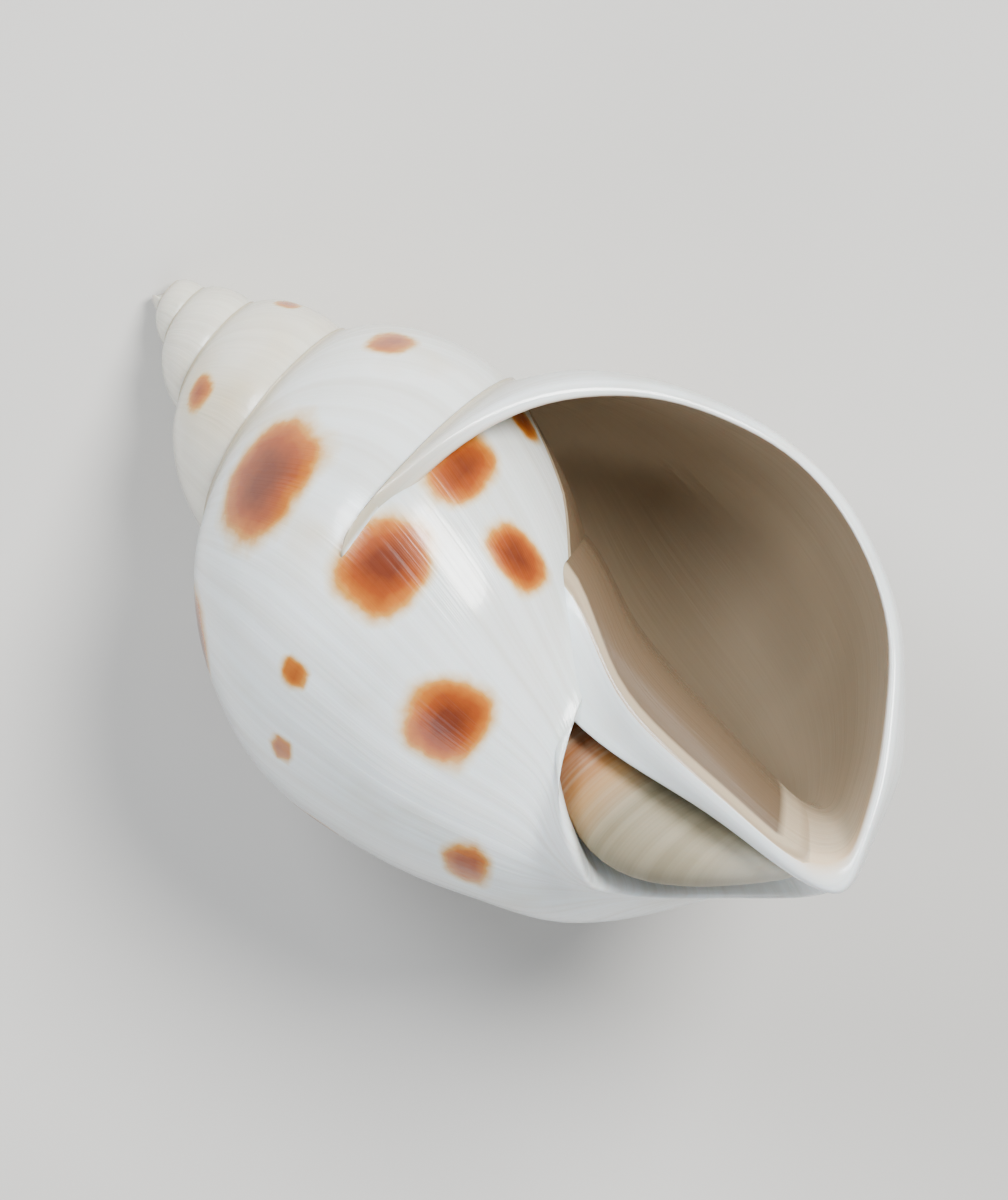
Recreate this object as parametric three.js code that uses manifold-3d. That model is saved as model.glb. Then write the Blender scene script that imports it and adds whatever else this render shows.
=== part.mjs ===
// A spotted babylon shell, lying on its back with the mouth up.
// Lengths are in millimetres. The shell is first drawn with its apex at the
// origin and its coiling axis along +Z, and is laid down at the end.
import * as THREE from 'three';
import Module from 'manifold-3d';

const wasm = await Module();
wasm.setup();

// Driving dimensions
const GROWTH_PER_TURN = 1.86;      // each turn is this many times the one before
const STEPS_PER_TURN = 18;         // flats along a turn
const TOTAL_STEPS = 83;            // from the lip back to the first chamber
const CHAMBER_STEPS = 24;          // how far in the hollow goes
const SEGMENT_STEPS = 12;          // a sweep is joined from pieces shorter than a turn
const OUTLINE_POINTS = 28;         // flats around the tube
const CHAMBER_OUTLINE_POINTS = 22; // flats around the hollow
const MOUTH_CLEARANCE = 6;         // the hollow reaches this far out of the mouth
const BASE_STRETCH = 0.3;          // older turns reach further down at the base
const BASE_STRETCH_POWER = 2.2;    // how late in the last turn that stretch comes in
const BASE_START = 40;             // height where it starts, at the lip
const BASE_END = 59;               // height where it is full, at the lip
const FASCIOLE_RADIUS = [3.3, 2.4];   // half width and half depth of the basal cord
const FASCIOLE_PATH = 5.1;         // how far the cord runs from the coiling axis
const FASCIOLE_TOP = 41;           // where it starts, under the inner lip
const FASCIOLE_FOOT = 51.6;        // where it ends, at the siphon
const FASCIOLE_START_AZIMUTH = 350;
const FASCIOLE_END_AZIMUTH = 70;
const FASCIOLE_STEPS = 20;         // flats along the cord
const FASCIOLE_SIDES = 12;         // flats around it
const FASCIOLE_START_SIZE = 0.55;  // how thick it starts, as a share of its full size
const FASCIOLE_TAPER = 0.35;       // the share of its length in which it reaches that size
const PILLAR_SIDES = 16;
// The pillar in the middle of the coil: height, radius and how far behind the axis it stands
const PILLAR = [[4, 0.5, 0], [26, 3.1, 0.6], [52, 3.6, 2.6]];

// The lip, from the suture over the outer lip to the siphon and back up the pillar
const LIP = [
  [-4.8, 11.8, 25.0], [3.0, 12.9, 24.4], [9.5, 12.6, 25.2], [16.2, 10.5, 29.6],
  [19.7, 8.0, 36.6], [19.2, 7.2, 45.0], [14.2, 7.0, 53.0], [8.5, 6.6, 57.5],
  [3.9, 5.8, 59.3], [1.4, 4.8, 56.0], [0.8, 4.6, 48.0], [0.6, 4.8, 40.0],
  [1.6, 6.6, 32.0], [-1.2, 7.2, 27.6],
];
// The edge of the hollow, a wall's thickness inside the lip
const MOUTH = [
  [10.2, 11.8, 26.8], [14.6, 9.8, 31.0], [17.5, 7.7, 37.4], [16.9, 7.0, 44.3],
  [12.9, 6.8, 51.3], [8.5, 6.4, 55.5], [5.2, 6.2, 57.2], [3.2, 6.6, 53.0],
  [2.8, 7.0, 46.5], [3.6, 7.8, 39.8], [7.2, 9.6, 32.6], [8.8, 11.0, 28.6],
];

const SPECK = 0.05;                // edges shorter than this are closed up after the joins

// How the finished shell lies, on its back with the spire down, in degrees
const ROLL_ABOUT_AXIS = -16;
const TIP_OVER = 57.9;
const WORN_FLAT = 0.6;             // how deep the back is worn flat where it rests

const smooth = (t) => { const c = Math.min(Math.max(t, 0), 1); return c * c * (3 - 2 * c); };

function closedOutline(points, count) {
  const curve = new THREE.CatmullRomCurve3(
    points.map((p) => new THREE.Vector3(...p)), true, 'centripetal');
  return curve.getSpacedPoints(count).slice(0, count);
}

// A point of the lip as it stood the given number of turns ago
function grownBack(point, turns) {
  const stretch = BASE_STRETCH * smooth((point.z - BASE_START) / (BASE_END - BASE_START))
    * Math.min(Math.max(turns, 0), 1) ** BASE_STRETCH_POWER;
  const moved = point.clone().multiplyScalar(GROWTH_PER_TURN ** -turns);
  moved.z *= 1 + stretch;
  return moved.applyAxisAngle(new THREE.Vector3(0, 0, 1), -2 * Math.PI * turns);
}

// Closes a row of equal rings into one solid
function solidFromRings(rings) {
  const width = rings[0].length;
  const last = rings.length - 1;
  const centre = (ring) => ring.reduce((s, p) => s.add(p), new THREE.Vector3())
    .divideScalar(ring.length);
  const points = [...rings.flat(), centre(rings[0]), centre(rings[last])];
  const faces = [];
  const quad = (a, b, c, d) => faces.push([a, b, c], [a, c, d]);
  for (let r = 0; r < last; r += 1) {
    for (let i = 0; i < width; i += 1) {
      const j = (i + 1) % width;
      quad(r * width + i, r * width + j, (r + 1) * width + j, (r + 1) * width + i);
    }
  }
  for (let i = 0; i < width; i += 1) {
    const j = (i + 1) % width;
    faces.push([points.length - 2, j, i]);
    faces.push([points.length - 1, last * width + i, last * width + j]);
  }
  return manifoldFrom(points, faces);
}

function manifoldFrom(points, faces) {
  const volume = faces.reduce((sum, [a, b, c]) => sum
    + points[a].dot(points[b].clone().cross(points[c])), 0);
  const turned = volume < 0 ? faces.map(([a, b, c]) => [a, c, b]) : faces;
  return new wasm.Manifold(new wasm.Mesh({
    numProp: 3,
    vertProperties: new Float32Array(points.flatMap((p) => [p.x, p.y, p.z])),
    triVerts: new Uint32Array(turned.flat()),
  }));
}

// Joins the sweep of an outline from pieces that share one step, each shorter than a turn
function sweptBack(outline, firstStep, lastStep) {
  const pieces = [];
  for (let start = firstStep; start < lastStep - 1; start += SEGMENT_STEPS) {
    const end = Math.min(start + SEGMENT_STEPS + 1, lastStep);
    const rings = Array.from({ length: end - start + 1 }, (_, i) => (
      outline.map((p) => grownBack(p, (start + i) / STEPS_PER_TURN))));
    pieces.push(solidFromRings(rings));
  }
  return pieces.reduce((whole, piece) => whole.add(piece));
}

function whorls() {
  return sweptBack(closedOutline(LIP, OUTLINE_POINTS), 0, TOTAL_STEPS);
}

// The hollow, with a straight stretch that leaves the mouth open
function chamber() {
  const outline = closedOutline(MOUTH, CHAMBER_OUTLINE_POINTS);
  const outside = outline.map((p) => p.clone().add(new THREE.Vector3(0, MOUTH_CLEARANCE, 0)));
  const firstStep = outline.map((p) => grownBack(p, 1 / STEPS_PER_TURN));
  const entry = solidFromRings([outside, outline, firstStep]);
  return entry.add(sweptBack(outline, 0, CHAMBER_STEPS));
}

// The cord round the base that ends at the siphon
function fasciole() {
  const rings = Array.from({ length: FASCIOLE_STEPS + 1 }, (_, i) => {
    const t = i / FASCIOLE_STEPS;
    const azimuth = THREE.MathUtils.degToRad(
      FASCIOLE_START_AZIMUTH + (FASCIOLE_END_AZIMUTH - FASCIOLE_START_AZIMUTH) * t);
    const rise = FASCIOLE_TOP + (FASCIOLE_FOOT - FASCIOLE_TOP) * Math.sqrt(t);
    const size = FASCIOLE_START_SIZE + (1 - FASCIOLE_START_SIZE) * smooth(t / FASCIOLE_TAPER);
    return Array.from({ length: FASCIOLE_SIDES }, (_unused, j) => {
      const turn = (2 * Math.PI * j) / FASCIOLE_SIDES;
      const reach = FASCIOLE_PATH * size + FASCIOLE_RADIUS[1] * size * Math.cos(turn);
      return new THREE.Vector3(reach * Math.sin(azimuth), reach * Math.cos(azimuth),
        rise + FASCIOLE_RADIUS[0] * size * Math.sin(turn));
    });
  });
  return solidFromRings(rings);
}

function pillar() {
  return solidFromRings(PILLAR.map(([height, radius, setback]) => (
    Array.from({ length: PILLAR_SIDES }, (_, j) => {
      const turn = (2 * Math.PI * j) / PILLAR_SIDES;
      return new THREE.Vector3(radius * Math.cos(turn), radius * Math.sin(turn) - setback, height);
    }))));
}

// Fills the specks of air that neighbouring whorls would otherwise close in
function withoutPockets(solid) {
  const bodies = solid.simplify(SPECK).decompose();
  return bodies.reduce((a, b) => (a.volume() > b.volume() ? a : b));
}

function geometryFrom(manifold) {
  const mesh = manifold.getMesh();
  const geometry = new THREE.BufferGeometry();
  const stride = mesh.numProp;
  const count = mesh.vertProperties.length / stride;
  const places = new Float32Array(count * 3);
  for (let i = 0; i < count; i += 1) {
    places.set(mesh.vertProperties.slice(i * stride, i * stride + 3), i * 3);
  }
  geometry.setAttribute('position', new THREE.BufferAttribute(places, 3));
  geometry.setIndex(new THREE.BufferAttribute(new Uint32Array(mesh.triVerts), 1));
  return geometry;
}

function laidDown(solid) {
  const turned = solid.rotate([0, 0, ROLL_ABOUT_AXIS]).rotate([TIP_OVER, 0, 0]);
  const { min, max } = turned.boundingBox();
  const floor = min[2] + WORN_FLAT;
  return turned.trimByPlane([0, 0, 1], floor)
    .translate([-(min[0] + max[0]) / 2, -(min[1] + max[1]) / 2, -floor]);
}

function shell() {
  const solid = withoutPockets(whorls().add(fasciole()).add(pillar()).subtract(chamber()));
  const geometry = geometryFrom(laidDown(solid));
  geometry.computeVertexNormals();
  const mesh = new THREE.Mesh(geometry, new THREE.MeshStandardMaterial({
    color: 0xe9ecea, roughness: 0.28,
  }));
  mesh.name = 'shell';
  return mesh;
}

const group = new THREE.Group();
group.name = 'spotted_babylon_shell';
group.add(shell());

export default group;
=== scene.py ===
# A spotted babylon shell, lying on its back with the mouth up.
# The shell is drawn in millimetres with its apex at the origin and its coiling
# axis along +Z, and is then laid down as the finished part lies.
import math

import bmesh
import bpy
from mathutils import Matrix, Vector


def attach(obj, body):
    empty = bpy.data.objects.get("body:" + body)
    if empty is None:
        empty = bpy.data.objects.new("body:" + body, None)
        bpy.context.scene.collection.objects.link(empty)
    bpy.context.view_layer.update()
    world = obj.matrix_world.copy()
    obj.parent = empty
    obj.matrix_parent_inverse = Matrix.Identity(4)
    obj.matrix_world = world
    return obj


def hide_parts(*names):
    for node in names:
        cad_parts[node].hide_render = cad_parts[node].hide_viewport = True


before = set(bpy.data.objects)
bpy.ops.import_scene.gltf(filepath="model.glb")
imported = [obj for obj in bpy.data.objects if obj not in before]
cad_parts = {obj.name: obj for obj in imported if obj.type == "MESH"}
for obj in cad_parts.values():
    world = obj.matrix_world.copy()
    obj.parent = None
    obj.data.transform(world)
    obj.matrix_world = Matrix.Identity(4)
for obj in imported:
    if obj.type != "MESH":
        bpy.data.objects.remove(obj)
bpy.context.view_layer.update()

MM = 0.001                 # one millimetre in metres

# How the shell grew
GROWTH_PER_TURN = 1.86
STEPS_PER_TURN = 24
TURNS = 4.7
CHAMBER_TURNS = 0.85       # how far back the hollow goes
CAGE_ALLOWANCE = 1.011     # a cage of this many steps rounds off by this much
ROUNDING_LEVELS = 2

# The ridge round the base marks the old places of the siphon. Each row has turns
# back, and how much wider and further down it stands than plain growth puts it.
RIDGE = [(0.0, 0.0, 0.0), (0.14, -0.20, 0.06), (0.25, -0.24, 0.10), (0.4, -0.27, 0.12),
         (0.58, -0.02, 0.165), (0.70, 0.36, 0.23), (0.76, 0.52, 0.24), (0.81, 0.46, 0.18), (0.87, 0.15, 0.12),
         (0.95, 0.0, 0.10)]
# The same for the wall beside the ridge, which goes on further down
BESIDE_RIDGE = [(0.0, 0.0, 0.0), (0.14, -0.20, 0.06), (0.25, -0.24, 0.10), (0.4, -0.27, 0.12),
                (0.58, -0.02, 0.165), (0.70, 0.36, 0.22), (0.78, 0.4, 0.25), (0.95, 0.2, 0.28)]
RIDGE_FROM = 14
# The share of that which each place of the edge list takes; a share below zero
# makes the crease that runs beside the ridge
RIDGE_WIDER = {11: -0.12, 12: -0.6, 13: 0.05, 14: 0.72, 15: 1.0, 16: 0.95, 17: 0.6, 18: 0.2}
RIDGE_LOWER = {10: 0.3, 11: 0.5, 12: 0.75, 13: 0.8, 14: 0.88, 15: 1.0, 16: 1.03, 17: 1.03,
               18: 1.03, 19: 1.0, 20: 0.9, 21: 0.5}

# The hollow is drawn in these steps, of which the second is close behind the lip
INNER_STEPS = [0, 0.35] + list(range(1, round(CHAMBER_TURNS * STEPS_PER_TURN) + 1))

# What each point of the mesh carries for the material: turns before the lip, place
# across the whorl, depth inside the mouth, depth inside a spot, and groove or not
LAYERS = ["grown", "across", "depth", "spot", "worn"]

# How it lies
ROLL_ABOUT_AXIS = math.radians(-16.0)
TIP_OVER = math.radians(57.9)
APEX = Vector((-2.84, 24.58, -0.2))

# The outer edge of the lip: along the suture, over the outer lip to the siphon,
# and back up the pillar
OUTER_EDGE = [
    (-5.5, 12.95, 25.4), (0.0, 13.4, 24.5), (4.6, 13.3, 24.4), (9.5, 12.6, 25.2),
    (13.4, 11.4, 27.2), (16.4, 10.2, 30.0), (18.6, 8.8, 33.4), (19.9, 7.9, 37.0),
    (20.1, 7.4, 41.2), (19.1, 7.2, 45.6), (17.1, 7.1, 49.8), (14.2, 7.0, 53.0),
    (11.0, 6.8, 55.9), (8.3, 6.6, 57.6), (5.9, 6.2, 58.9), (4.4, 5.8, 59.4),
    (3.6, 5.5, 58.8), (2.9, 5.4, 57.2), (2.3, 5.3, 54.7), (1.6, 5.2, 50.6),
    (0.3, 5.1, 46.0), (-0.8, 5.4, 41.6), (-1.2, 6.6, 36.5), (-2.6, 9.2, 29.0),
]
# The inner edge, a wall's thickness inside it
INNER_EDGE = [
    (-4.9, 12.1, 26.0), (0.2, 12.5, 25.4), (4.6, 12.6, 25.3), (9.2, 12.1, 26.2),
    (12.9, 11.0, 28.1), (15.8, 9.9, 30.6), (17.9, 8.6, 33.8), (19.2, 7.8, 37.2),
    (19.4, 7.3, 41.0), (18.5, 7.1, 45.2), (16.6, 7.0, 49.2), (13.8, 6.9, 52.3),
    (10.7, 6.7, 55.1), (8.2, 6.5, 56.8), (6.3, 6.4, 57.9), (5.0, 6.3, 57.9),
    (3.8, 6.5, 56.9), (3.1, 6.7, 54.6), (2.7, 6.9, 50.7), (2.2, 7.1, 45.8),
    (2.3, 7.3, 41.0), (4.2, 7.6, 36.0), (4.4, 8.0, 31.5), (-1.6, 9.8, 28.0),
]
# From these turns on, by place of the edge list, an older whorl's outside is
# covered by the mouth and takes the taupe painted shade of the mouth's inside
MOUTH_SHADE_STARTS = {9: 0.99, 10: 0.965, 11: 0.918, 12: 0.90, 13: 0.90}
MOUTH_SHADE_ELSEWHERE = 0.90
COVERED_FROM, COVERED_TO = 9, 20
MOUTH_SHADE_DARKENS = 60.0      # how fast it darkens inwards, per turn
UNCOVERED = -1.0           # the depth of a place that no mouth covers
JUST_OUTSIDE = -0.02       # the depth of the lip's outer edge
JUST_INSIDE = 0.005        # the depth of its inner edge
PILLAR_FROM = 17
# the pillar side of the mouth gets a darker painted shade
PILLAR_SHADE_DEPTH = 0.5         # the pillar side of the mouth is dark from its edge on
# The wall behind the lip thickens by this many mm over this many turns
BEHIND_LIP = 0.45
THICK_AFTER = 0.08
# The lip is rounded over: by this share of the wall, but this many mm at most
RIM_RISE = 0.3
RIM_RISE_MOST = 0.45
RIM_TURNS = 0.01
FIRST_BEHIND_LIP = 0.018   # the last ring before the lip, in turns

# The floor of the groove between the inner lip and the ridge: place along the
# axis, middle across, middle in depth, half width, half depth
GROOVE_FLOOR = [
    (37.0, -0.6, 3.0, 0.8, 0.6), (40.0, -1.0, 2.2, 1.8, 1.7), (44.0, -1.6, 1.3, 3.0, 2.7),
    (48.0, -1.2, 0.9, 3.4, 2.7), (51.5, 0.8, 1.2, 2.7, 2.4), (54.0, 2.5, 2.2, 1.7, 1.6),
    (56.0, 3.7, 3.4, 0.7, 0.8),
]
GROOVE_SIDES = 12
GROOVE_LENGTH = 60.0       # the places along it are coloured as shares of this
GROOVE_ACROSS = 0.8        # its place across the growth lines

# The view, in the shell as drawn: where from, what is up, and what is in the middle
SEEN_FROM = Vector((-0.1401, 0.9497, 0.2800))
PICTURE_UP = Vector((0.6437, 0.3024, -0.7037))
IN_THE_MIDDLE = Vector((2.233, -0.007, 30.44))
CAMERA_LENS = 350.0
CAMERA_AWAY = 0.70         # metres
FLOOR_SIZE = 3.0
WORLD_TINT, WORLD_STRENGTH = "E8ECF0", 0.38

SPOT_SQUARENESS = 2.6      # 2 is an ellipse, more is squarer
SPOT_REACH = 2.2           # past this many half sizes a spot has no effect
SPOT_TURNS = 0.3           # nor past this many turns, as the whorls lie side by side

# The spots stand in three rows along the whorl: turns before the lip, place across
# the whorl in steps of the edge list, half length and half height in mm, strength
SPOTS = [
    # under the suture
    (0.775, 4.8, 3.8, 2.9, 1.0), (0.60, 4.6, 3.4, 2.2, 1.0), (0.45, 4.7, 4.0, 2.3, 1.0),
    (0.29, 4.6, 3.8, 2.4, 0.9), (0.13, 4.8, 3.2, 2.2, 0.6),
    # round the middle
    (0.765, 8.75, 2.9, 2.4, 1.0), (0.862, 8.7, 2.6, 1.7, 0.8), (0.595, 8.35, 1.1, 0.8, 0.35),
    (0.66, 8.2, 1.0, 0.9, 0.3), (0.49, 8.4, 2.6, 2.2, 1.0), (0.36, 8.2, 2.8, 2.4, 0.9),
    (0.22, 8.4, 2.4, 2.6, 0.9), (0.09, 8.2, 2.0, 2.2, 0.5), (0.965, 8.9, 1.2, 1.3, 0.6),
    # round the base
    (0.714, 10.6, 2.5, 2.4, 1.0), (0.862, 10.15, 1.5, 2.2, 0.9), (0.581, 11.4, 2.0, 1.4, 0.5),
    (0.45, 11.0, 2.6, 1.9, 0.9), (0.31, 10.9, 2.4, 2.2, 0.9), (0.16, 11.1, 2.8, 2.0, 0.7),
    # on the spire, where they are small and pale
    (0.96, 4.6, 1.6, 1.3, 0.5), (1.14, 4.7, 1.7, 1.2, 0.45), (1.33, 4.6, 1.5, 1.1, 0.5),
    (1.52, 4.7, 1.4, 1.0, 0.4), (1.75, 4.6, 1.2, 0.9, 0.4), (2.0, 4.6, 0.9, 0.7, 0.35),
]


def held(points):
    """The cage that rounds off to the given closed row of points."""
    points = [Vector(p) for p in points]
    out = []
    for i, p in enumerate(points):
        bend = points[i - 1] - 2 * p + points[(i + 1) % len(points)]
        out.append(p - bend / 6)
    return out


def smooth(t):
    """Eases from 0 to 1."""
    t = min(max(t, 0.0), 1.0)
    return t * t * (3 - 2 * t)


def read_at(rows, turns):
    """A list of rows read at any age, on a smooth curve through them."""
    if turns <= 0:
        return rows[0][1:]
    if turns >= rows[-1][0]:
        return rows[-1][1:]
    i = max(k for k in range(len(rows) - 1) if rows[k][0] <= turns)
    (a, *low), (b, *high) = rows[i], rows[i + 1]
    before, after = rows[max(i - 1, 0)], rows[min(i + 2, len(rows) - 1)]
    t = (turns - a) / (b - a)
    out = []
    for k in (0, 1):
        slope_a = (high[k] - before[k + 1]) / (b - before[0]) * (b - a)
        slope_b = (after[k + 1] - low[k]) / (after[0] - a) * (b - a)
        out.append((2 * t ** 3 - 3 * t ** 2 + 1) * low[k] + (t ** 3 - 2 * t ** 2 + t) * slope_a
                   + (3 * t ** 2 - 2 * t ** 3) * high[k] + (t ** 3 - t ** 2) * slope_b)
    return out


def grown_back(point, turns, wider=0.0, lower=0.0):
    """A point of the lip as it stood the given number of turns ago."""
    x, y, z = point
    size = GROWTH_PER_TURN ** -turns
    wide = size * CAGE_ALLOWANCE * (1 + wider)
    angle = 2 * math.pi * turns
    c, s = math.cos(angle), math.sin(angle)
    return Vector(((x * c + y * s) * wide, (y * c - x * s) * wide, z * size * (1 + lower)))


def edge_then(points, turns, ridged=True):
    """The whole edge as it stood the given number of turns ago."""
    crest, flank = (read_at(rows, turns) for rows in (RIDGE, BESIDE_RIDGE))
    out = []
    for i, p in enumerate(points):
        wider, lower = (crest if i >= RIDGE_FROM else flank) if ridged else (0.0, 0.0)
        out.append(grown_back(p, turns, wider * RIDGE_WIDER.get(i, 0.0),
                              lower * RIDGE_LOWER.get(i, 0.0)))
    return out


def lay_down():
    """The move from the shell as drawn, in mm, to its place on the floor, in m."""
    turn = Matrix.Rotation(TIP_OVER, 4, "X") @ Matrix.Rotation(ROLL_ABOUT_AXIS, 4, "Z")
    return Matrix.Scale(MM, 4) @ Matrix.Translation(APEX) @ turn


def deselect():
    """Leaves edit mode with nothing selected."""
    if bpy.context.object and bpy.context.object.mode == "EDIT":
        bpy.ops.object.mode_set(mode="OBJECT")
    bpy.ops.object.select_all(action="DESELECT")


def first_ring(name, points, layers):
    """A circle set out along the given points, open in edit mode."""
    deselect()
    bpy.ops.mesh.primitive_circle_add(vertices=len(points), radius=1)
    piece = bpy.context.object
    piece.name = name
    bpy.ops.object.mode_set(mode="EDIT")
    bm = bmesh.from_edit_mesh(piece.data)
    bm.verts.layers.int.new("station")
    for layer in layers:
        bm.verts.layers.float.new(layer)
    station = bm.verts.layers.int["station"]
    for i, v in enumerate(bm.verts):
        v[station] = i
    bmesh.update_edit_mesh(piece.data)
    place_ring(piece, points, dict.fromkeys(layers, 0.0))
    return piece


def place_ring(piece, points, values):
    """Moves the selected ring to the points and writes its values."""
    bm = bmesh.from_edit_mesh(piece.data)
    station = bm.verts.layers.int["station"]
    for v in bm.verts:
        if v.select:
            v.co = points[v[station]]
            for layer, value in values.items():
                each = value[v[station]] if isinstance(value, list) else value
                v[bm.verts.layers.float[layer]] = each
    bmesh.update_edit_mesh(piece.data)


def next_ring(piece, points, values):
    """Extrudes the selected ring on to the next points."""
    bpy.ops.mesh.extrude_region()
    place_ring(piece, points, values)


def close_ring():
    """Extrudes the selected ring in to a point."""
    bpy.ops.mesh.extrude_region()
    bpy.ops.mesh.merge(type="CENTER")


def close_both_ends(piece):
    """Closes the last ring, which is selected, and then the first."""
    close_ring()
    bpy.ops.mesh.select_all(action="DESELECT")
    bm = bmesh.from_edit_mesh(piece.data)
    for e in bm.edges:
        if e.is_boundary:
            e.select_set(True)
    bmesh.update_edit_mesh(piece.data)
    close_ring()


def finish_piece(piece):
    """Turns the faces outward and rounds the piece off."""
    bpy.ops.mesh.select_all(action="SELECT")
    bpy.ops.mesh.normals_make_consistent(inside=False)
    bpy.ops.object.mode_set(mode="OBJECT")
    mod = piece.modifiers.new("rounding", "SUBSURF")
    mod.levels = mod.render_levels = ROUNDING_LEVELS
    bpy.ops.object.modifier_apply(modifier=mod.name)
    bpy.ops.object.shade_smooth()


# --- the whorls and the mouth -------------------------------------------------

def mouth_shade_depth(turns):
    """The depth inside the mouth of each place of an older whorl's outside, which sets how dark its painted
    shade is.
    """
    def inward(i):
        return (turns - MOUTH_SHADE_STARTS.get(i, MOUTH_SHADE_ELSEWHERE)) * MOUTH_SHADE_DARKENS

    return [inward(i) if COVERED_FROM <= i <= COVERED_TO else UNCOVERED
            for i in range(len(OUTER_EDGE))]


def rim(outer, inner):
    """The top of the lip, between its two edges."""
    out = []
    for a, b in zip(outer, inner):
        ahead = (a - grown_back(a, RIM_TURNS)).normalized()
        out.append((a + b) / 2 + ahead * min(RIM_RISE * (a - b).length, RIM_RISE_MOST))
    return out


def behind_lip(inner, turns):
    """The hollow's edge the given number of turns behind the lip."""
    middle = sum(inner, Vector()) / len(inner)
    thicker = BEHIND_LIP * smooth(turns / THICK_AFTER)
    ring = [p + (middle - p).normalized() * thicker for p in inner]
    return edge_then(ring, turns, ridged=False)


def make_wall():
    """The wall of the shell in one sweep: from the apex up to the lip on the
    outside, over the rim, and back into the hollow."""
    outer, inner = held(OUTER_EDGE), held(INNER_EDGE)
    across = [i / len(outer) for i in range(len(outer))]

    def values(turns, depth):
        return {"grown": turns, "across": across, "depth": depth}

    steps = round(TURNS * STEPS_PER_TURN)
    turns = steps / STEPS_PER_TURN
    ring = edge_then(outer, turns)
    wall = first_ring("shell_wall", ring, LAYERS)
    place_ring(wall, ring, values(turns, mouth_shade_depth(turns)))
    for i in reversed(range(1, steps)):
        turns = i / STEPS_PER_TURN
        next_ring(wall, edge_then(outer, turns), values(turns, mouth_shade_depth(turns)))
    for turns in (FIRST_BEHIND_LIP, 0.0):
        next_ring(wall, edge_then(outer, turns), values(turns, JUST_OUTSIDE))
    next_ring(wall, rim(outer, inner), values(-RIM_TURNS, 0.0))
    for i in INNER_STEPS:
        turns = i / STEPS_PER_TURN
        depth = [(PILLAR_SHADE_DEPTH * (i > 0) if j >= PILLAR_FROM else JUST_INSIDE) + turns / 2
                 for j in range(len(inner))]
        next_ring(wall, behind_lip(inner, turns), values(turns, depth))
    close_both_ends(wall)
    finish_piece(wall)
    return wall


def groove_ring(section):
    height, across, deep, half_width, half_depth = section
    turns = [2 * math.pi * j / GROOVE_SIDES for j in range(GROOVE_SIDES)]
    return [Vector((across + half_width * math.cos(a), deep + half_depth * math.sin(a), height))
            for a in turns]


def make_groove_floor():
    """A rounded bar that fills the bottom of the groove."""
    core = first_ring("shell_pillar", groove_ring(GROOVE_FLOOR[0]), LAYERS)
    for section in GROOVE_FLOOR[1:]:
        next_ring(core, groove_ring(section), {
            "grown": section[0] / GROOVE_LENGTH, "across": GROOVE_ACROSS,
            "depth": 0.0, "worn": 1.0})
    close_both_ends(core)
    finish_piece(core)
    unspotted(core)
    return core


# --- the spots ----------------------------------------------------------------

def on_wall(station, turns):
    """A place on the outside, between the listed points of the edge."""
    i = math.floor(station) % len(OUTER_EDGE)
    t = station - math.floor(station)
    edge = edge_then(OUTER_EDGE, turns)
    return edge[i] * (1 - t) + edge[(i + 1) % len(edge)] * t


def unspotted(piece):
    """Puts every place of a piece outside the spots."""
    for d in piece.data.attributes["spot"].data:
        d.value = -1.0


def paint_spots(piece, spots):
    """Writes how deep inside a spot each place of the shell is: 1 in the middle
    of one, 0 at its edge and less outside."""
    unspotted(piece)
    mesh = piece.data
    grown, depth, field = (mesh.attributes[n].data for n in ("grown", "depth", "spot"))
    for turns, station, half_length, half_height, strength in spots:
        middle = on_wall(station, turns)
        along = (on_wall(station, turns + 0.01) - middle).normalized()
        up = on_wall(station + 0.3, turns) - middle
        up = (up - along * up.dot(along)).normalized()
        reach = SPOT_REACH * max(half_length, half_height)
        for i, v in enumerate(mesh.vertices):
            if abs(grown[i].value - turns) > SPOT_TURNS or depth[i].value > 0:
                continue
            gap = v.co - middle
            if gap.length > reach:
                continue
            a, b = abs(gap.dot(along)) / half_length, abs(gap.dot(up)) / half_height
            value = 1 - (a ** SPOT_SQUARENESS + b ** SPOT_SQUARENESS) ** (1 / SPOT_SQUARENESS)
            value = value * strength if value > 0 else value
            field[i].value = max(field[i].value, value)


def lay_piece(piece):
    """Lays a piece down and ties it to the part."""
    piece.data.transform(lay_down())
    for v in piece.data.vertices:
        v.co.z = max(v.co.z, 0.0)      # worn flat where it touches the ground
    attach(piece, "root")
    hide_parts("shell")


# --- materials ----------------------------------------------------------------

def colour(hex_value, alpha=1.0):
    """An sRGB hex colour as linear values."""
    out = []
    for i in (0, 2, 4):
        c = int(hex_value[i:i + 2], 16) / 255
        out.append(c / 12.92 if c <= 0.04045 else ((c + 0.055) / 1.055) ** 2.4)
    return (*out, alpha)


def add(material, kind, settings=None, links=None):
    """Adds a node, sets its values and joins its inputs."""
    tree = material.node_tree
    node = tree.nodes.new("ShaderNode" + kind)
    for key, value in (settings or {}).items():
        if isinstance(key, str) and hasattr(node, key):
            setattr(node, key, value)
        else:
            node.inputs[key].default_value = value
    for key, socket in (links or {}).items():
        tree.links.new(socket, node.inputs[key])
    return node


def ramp(material, factor, stops):
    """A colour that changes along a value, given as (value, colour) stops."""
    node = add(material, "ValToRGB", links={0: factor})
    marks = node.color_ramp.elements
    while len(marks) < len(stops):
        marks.new(0.5)
    for mark, (place, value) in zip(marks, stops):
        mark.position = place
        mark.color = value
    return node.outputs[0]


def mix(material, factor, a, b):
    """One colour over another, as far as the factor says."""
    node = add(material, "Mix", {"data_type": "RGBA"})
    for index, value in ((0, factor), (6, a), (7, b)):
        if hasattr(value, "node"):
            material.node_tree.links.new(value, node.inputs[index])
        else:
            node.inputs[index].default_value = value
    return node.outputs[2]


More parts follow.
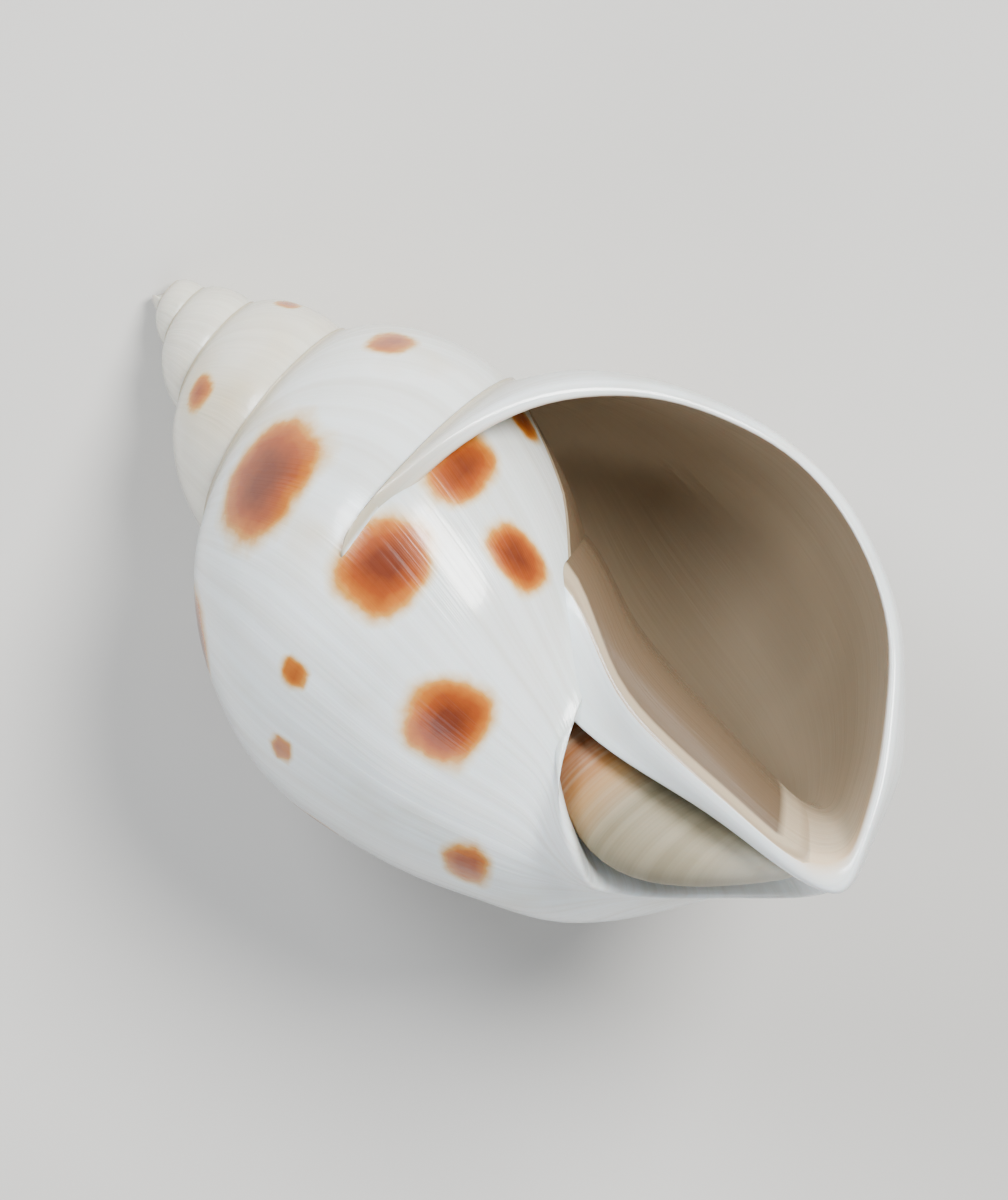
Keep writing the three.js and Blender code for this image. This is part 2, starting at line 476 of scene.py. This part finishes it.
def shell_material():
    """Aragonite with its natural polish: porcelain white under a wet-looking gloss,
    faint growth lines, soft-edged orange-brown blotches and taupe painted shade inside the mouth."""
    m = bpy.data.materials.new("polished_aragonite")
    m.use_nodes = True
    m.node_tree.nodes.clear()
    place = add(m, "TexCoord").outputs["Object"]
    read = {n: add(m, "Attribute", {"attribute_name": n}).outputs["Fac"]
            for n in ("grown", "across", "depth", "spot", "worn")}

    # blotch edges wander by about a millimetre; their rim is paler than their core
    ragged = add(m, "TexNoise", {"Scale": 420.0, "Detail": 3.0, "Roughness": 0.55},
                 {"Vector": place}).outputs["Fac"]
    wander = add(m, "Math", {"operation": "MULTIPLY_ADD", 1: 0.5, 2: -0.25}, {0: ragged}).outputs[0]
    spot = add(m, "Math", {"operation": "ADD"}, {0: read["spot"], 1: wander}).outputs[0]
    spot01 = add(m, "MapRange", {"From Min": -0.35, "From Max": 0.75}, {"Value": spot}).outputs[0]
    spot_colour = ramp(m, spot01, [
        (0.10, colour("E6CF9A")), (0.27, colour("D6A24C")), (0.42, colour("BC6A1C")),
        (0.62, colour("98440C")), (0.95, colour("6A2A0C"))])
    covered = ramp(m, spot01, [(0.03, (0, 0, 0, 1)), (0.33, (1, 1, 1, 1))])

    # growth lines follow the lip's old edges, so they are fine along the whorl and
    # long across it
    bands = add(m, "CombineXYZ", links={0: read["grown"], 1: read["across"]}).outputs[0]
    stretched = add(m, "Mapping", {"Scale": (70.0, 1.2, 1.0)}, {"Vector": bands}).outputs[0]
    lines = add(m, "TexNoise", {"Scale": 1.0, "Detail": 4.0, "Roughness": 0.6},
                {"Vector": stretched}).outputs["Fac"]
    # the white wanders at random from beige-grey to bluish white: painted shade and painted reflection spread
    # as a cloud
    sheen_and_shade_cloud = add(m, "TexNoise", {"Scale": 90.0, "Detail": 3.0}, {"Vector": place}).outputs["Fac"]
    base = ramp(m, sheen_and_shade_cloud, [(0.28, colour("D8D8CC")), (0.42, colour("EAF2F3")),
                           (0.60, colour("F4FAFB")), (0.76, colour("E8DFC8"))])
    # the spire is warmer than the body, and painted shade darkens the seam between whorls, where the suture
    # groove lies
    older = add(m, "MapRange", {"From Min": 0.7, "From Max": 1.5, "To Max": 0.5},
                {"Value": read["grown"]}).outputs[0]
    base = mix(m, older, base, colour("D2C39C"))
    painted_suture_shade = ramp(m, read["across"], [(0.03, (0.75, 0.75, 0.75, 1)), (0.11, (0, 0, 0, 1))])
    base = mix(m, painted_suture_shade, base, colour("B09A6C"))
    base = mix(m, ramp(m, lines, [(0.40, (0, 0, 0, 1)), (0.75, (0.45, 0.45, 0.45, 1))]),
               base, colour("C9C2B0"))
    outside = mix(m, covered, base, spot_colour)

    # inside the mouth the colour is a taupe painted shade, darker on the pillar side, with a thin warm line
    # of the lip's own colour along its edge
    inside = ramp(m, read["depth"], [
        (0.0, colour("F0EADF")), (0.006, colour("E6CBA6")), (0.02, colour("BFAE94")),
        (0.06, colour("A8957A")), (0.12, colour("AC997E")), (0.22, colour("B8A68A")),
        (0.40, colour("B8A68A")), (0.5, colour("6C5A46"))])
    within = ramp(m, read["depth"], [(0.0, (0, 0, 0, 1)), (0.006, (1, 1, 1, 1))])
    tint = mix(m, within, outside, inside)
    # the groove is orange-brown where it starts, then grey-olive, and white at its end
    floor_tint = ramp(m, read["grown"], [
        (0.70, colour("8A4C14")), (0.735, colour("A0763E")), (0.77, colour("80755A")),
        (0.86, colour("8C8268")), (0.93, colour("C9C4B4"))])
    floor_tint = mix(m, ramp(m, lines, [(0.42, (0, 0, 0, 1)), (0.66, (0.4, 0.4, 0.4, 1))]),
                     floor_tint, colour("B4AB92"))
    tint = mix(m, read["worn"], tint, floor_tint)
    rough = add(m, "MapRange", {"To Min": 0.22, "To Max": 0.62}, {"Value": read["worn"]}).outputs[0]
    coat = add(m, "MapRange", {"To Min": 0.4, "To Max": 0.0}, {"Value": read["worn"]}).outputs[0]

    bump = add(m, "Bump", {"Strength": 0.16, "Distance": 0.0006}, {"Height": lines}).outputs[0]
    shader = add(m, "BsdfPrincipled", {
        "IOR": 1.56, "Coat Roughness": 0.08, "Subsurface Weight": 0.12,
        "Subsurface Scale": 0.0012},
        {"Base Color": tint, "Normal": bump, "Roughness": rough, "Coat Weight": coat})
    add(m, "OutputMaterial", links={"Surface": shader.outputs[0]})
    return m


def floor_material():
    """Matt painted board: pale and even, with a faint mottle."""
    m = bpy.data.materials.new("matt_board")
    m.use_nodes = True
    m.node_tree.nodes.clear()
    place = add(m, "TexCoord").outputs["Object"]
    mottle = add(m, "TexNoise", {"Scale": 25.0, "Detail": 2.0}, {"Vector": place}).outputs["Fac"]
    tint = ramp(m, mottle, [(0.3, colour("CFCDC8")), (0.7, colour("D6D4CF"))])
    shader = add(m, "BsdfPrincipled", {"Roughness": 0.85}, {"Base Color": tint})
    add(m, "OutputMaterial", links={"Surface": shader.outputs[0]})
    return m


# --- the scene ----------------------------------------------------------------

def area_light(name, place, target, size, power, tint):
    """A round lamp turned to the target; size in metres, power in watts."""
    data = bpy.data.lights.new(name, "AREA")
    data.shape = "DISK"
    data.size = size
    data.energy = power
    data.color = colour(tint)[:3]
    lamp = bpy.data.objects.new(name, data)
    bpy.context.collection.objects.link(lamp)
    lamp.location = place
    lamp.rotation_euler = (Vector(target) - Vector(place)).to_track_quat("-Z", "Y").to_euler()


def make_camera(target):
    """A long lens that looks down on the target."""
    turn = lay_down().to_3x3().normalized()
    toward = (turn @ SEEN_FROM).normalized()
    up = turn @ PICTURE_UP
    right = up.cross(toward).normalized()
    up = toward.cross(right)
    data = bpy.data.cameras.new("camera")
    data.lens = CAMERA_LENS
    cam = bpy.data.objects.new("camera", data)
    bpy.context.collection.objects.link(cam)
    turn = Matrix((right, up, toward)).transposed().to_4x4()
    cam.matrix_world = Matrix.Translation(Vector(target) + toward * CAMERA_AWAY) @ turn
    bpy.context.scene.camera = cam


wall = make_wall()
pillar = make_groove_floor()
paint_spots(wall, SPOTS)
shell_look = shell_material()
for piece in (wall, pillar):
    piece.data.materials.clear()
    piece.data.materials.append(shell_look)
    lay_piece(piece)
deselect()

bpy.ops.mesh.primitive_plane_add(size=FLOOR_SIZE, location=(0, 0, 0))
board = bpy.context.object
board.name = "floor"
board.data.materials.append(floor_material())

middle = lay_down() @ IN_THE_MIDDLE
make_camera(middle)
area_light("key", (0.52, 0.10, 0.62), middle, 0.34, 12.0, "FFFEFC")
area_light("top", (0.10, 0.62, 0.55), middle, 0.30, 5.0, "F4F8FF")
area_light("fill", (-0.60, -0.25, 0.55), middle, 0.80, 3.0, "F2F6FF")
world = bpy.data.worlds.new("studio")
bpy.context.scene.world = world
world.use_nodes = True
sky = world.node_tree.nodes["Background"].inputs
sky[0].default_value = colour(WORLD_TINT)
sky[1].default_value = WORLD_STRENGTH
